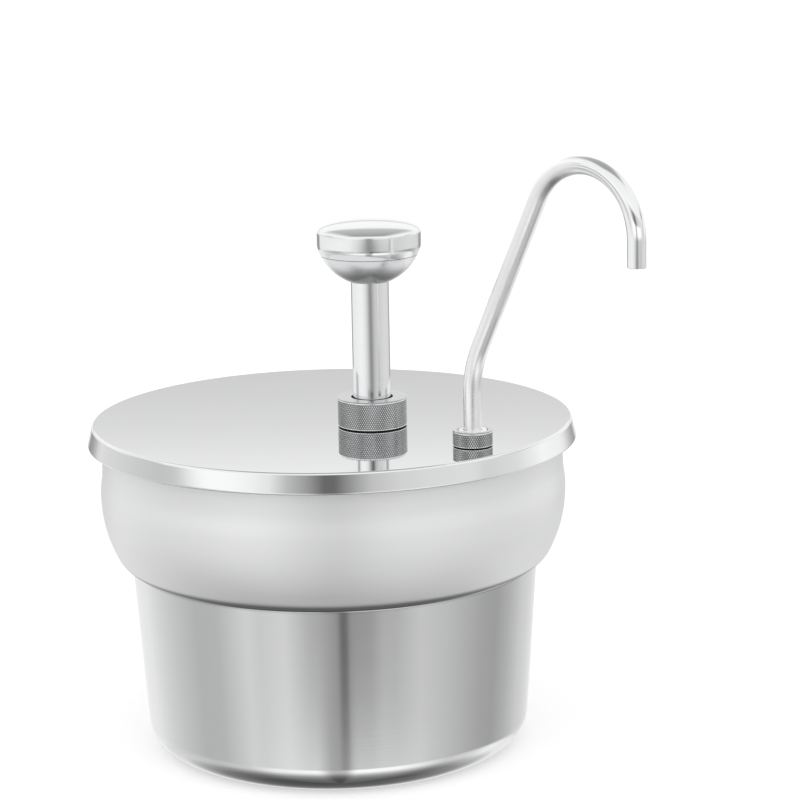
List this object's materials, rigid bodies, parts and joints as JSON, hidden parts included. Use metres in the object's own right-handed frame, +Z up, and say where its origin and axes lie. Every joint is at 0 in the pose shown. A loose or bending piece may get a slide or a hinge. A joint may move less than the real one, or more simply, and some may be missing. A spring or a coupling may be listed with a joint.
{
  "type": "sauce dispenser",
  "caption": "Round lidded steel pot with a push-knob pump through its lid and a bent pouring spout beside the pump.",
  "frame": {"origin": "centre of the pot's flat foot, on the table", "axes": "+Z up along the pot's axis, +X from the pot's axis towards the spout; the part is symmetric left to right about the XZ plane"},
  "size_m": [0.391, 0.2938, 0.3732],
  "materials": {
    "satin_steel": "satin stainless steel",
    "mirror_steel": "mirror-polished stainless steel",
    "polished_steel": "polished stainless steel",
    "knurled_steel": "diamond-knurled stainless steel",
    "black_rubber": "matt black rubber",
    "white_plastic": "natural white machined plastic"
  },
  "bodies": {
    "pot": {"pot_body": "satin_steel", "pot_shoulder": "satin_steel"},
    "lid": {"lid": "mirror_steel", "pump_gasket": "black_rubber", "pump_washer": "black_rubber", "pump_cylinder": "satin_steel", "guide_bush": "white_plastic", "wiper_seal": "black_rubber", "return_spring": "satin_steel", "valve_block": "white_plastic", "inlet_seat": "satin_steel", "inlet_stop_pin": "satin_steel", "discharge_stop_pin": "satin_steel", "passage_plug": "satin_steel", "discharge_cap": "satin_steel", "riser_nut_lower": "satin_steel", "riser_tube": "polished_steel", "riser_nut_upper": "satin_steel", "spout_fitting": "satin_steel", "fitting_washer": "black_rubber", "spout_gasket": "black_rubber"},
    "pump_collar": {"pump_collar": "knurled_steel"},
    "plunger": {"plunger_tube": "polished_steel", "tube_plug": "satin_steel", "knob_hub": "satin_steel", "knob_screw": "satin_steel", "knob_bowl": "polished_steel", "knob_cap": "polished_steel", "piston": "white_plastic", "piston_seal_lower": "black_rubber", "piston_seal_upper": "black_rubber"},
    "inlet_ball": {"inlet_ball": "polished_steel"},
    "discharge_ball": {"discharge_ball": "polished_steel"},
    "spout_nut": {"spout_nut": "knurled_steel"},
    "spout": {"spout_tube": "polished_steel", "spout_ferrule": "polished_steel"}
  },
  "joints": [
    {"name": "lid_lift", "type": "slide", "parent": "pot", "child": "lid", "axis": [0, 0, 1], "range_m": [0, 0.25]},
    {"name": "plunger_stroke", "type": "slide", "parent": "lid", "child": "plunger", "axis": [0, 0, -1], "range_m": [0, 0.056], "stiffness_N_per_m": 300, "springref_m": -0.03, "deforming": ["return_spring"]},
    {"name": "pump_collar_turn", "type": "hinge", "parent": "lid", "child": "pump_collar", "pos_m": [0.0349, 0, 0.2012], "axis": [0, 0, 1], "range_deg": [0, 360]},
    {"name": "spout_nut_turn", "type": "hinge", "parent": "lid", "child": "spout_nut", "pos_m": [0.1167, 0, 0.2008], "axis": [0, 0, 1], "range_deg": [0, 360]},
    {"name": "spout_swivel", "type": "hinge", "parent": "lid", "child": "spout", "pos_m": [0.1167, 0, 0.19], "axis": [0, 0, 1], "range_deg": [-90, 90]},
    {"name": "inlet_ball_lift", "type": "slide", "parent": "lid", "child": "inlet_ball", "axis": [0, 0, 1], "range_m": [0, 0.0035]},
    {"name": "discharge_ball_lift", "type": "slide", "parent": "lid", "child": "discharge_ball", "axis": [0, 0, 1], "range_m": [0, 0.0035]}
  ]
}
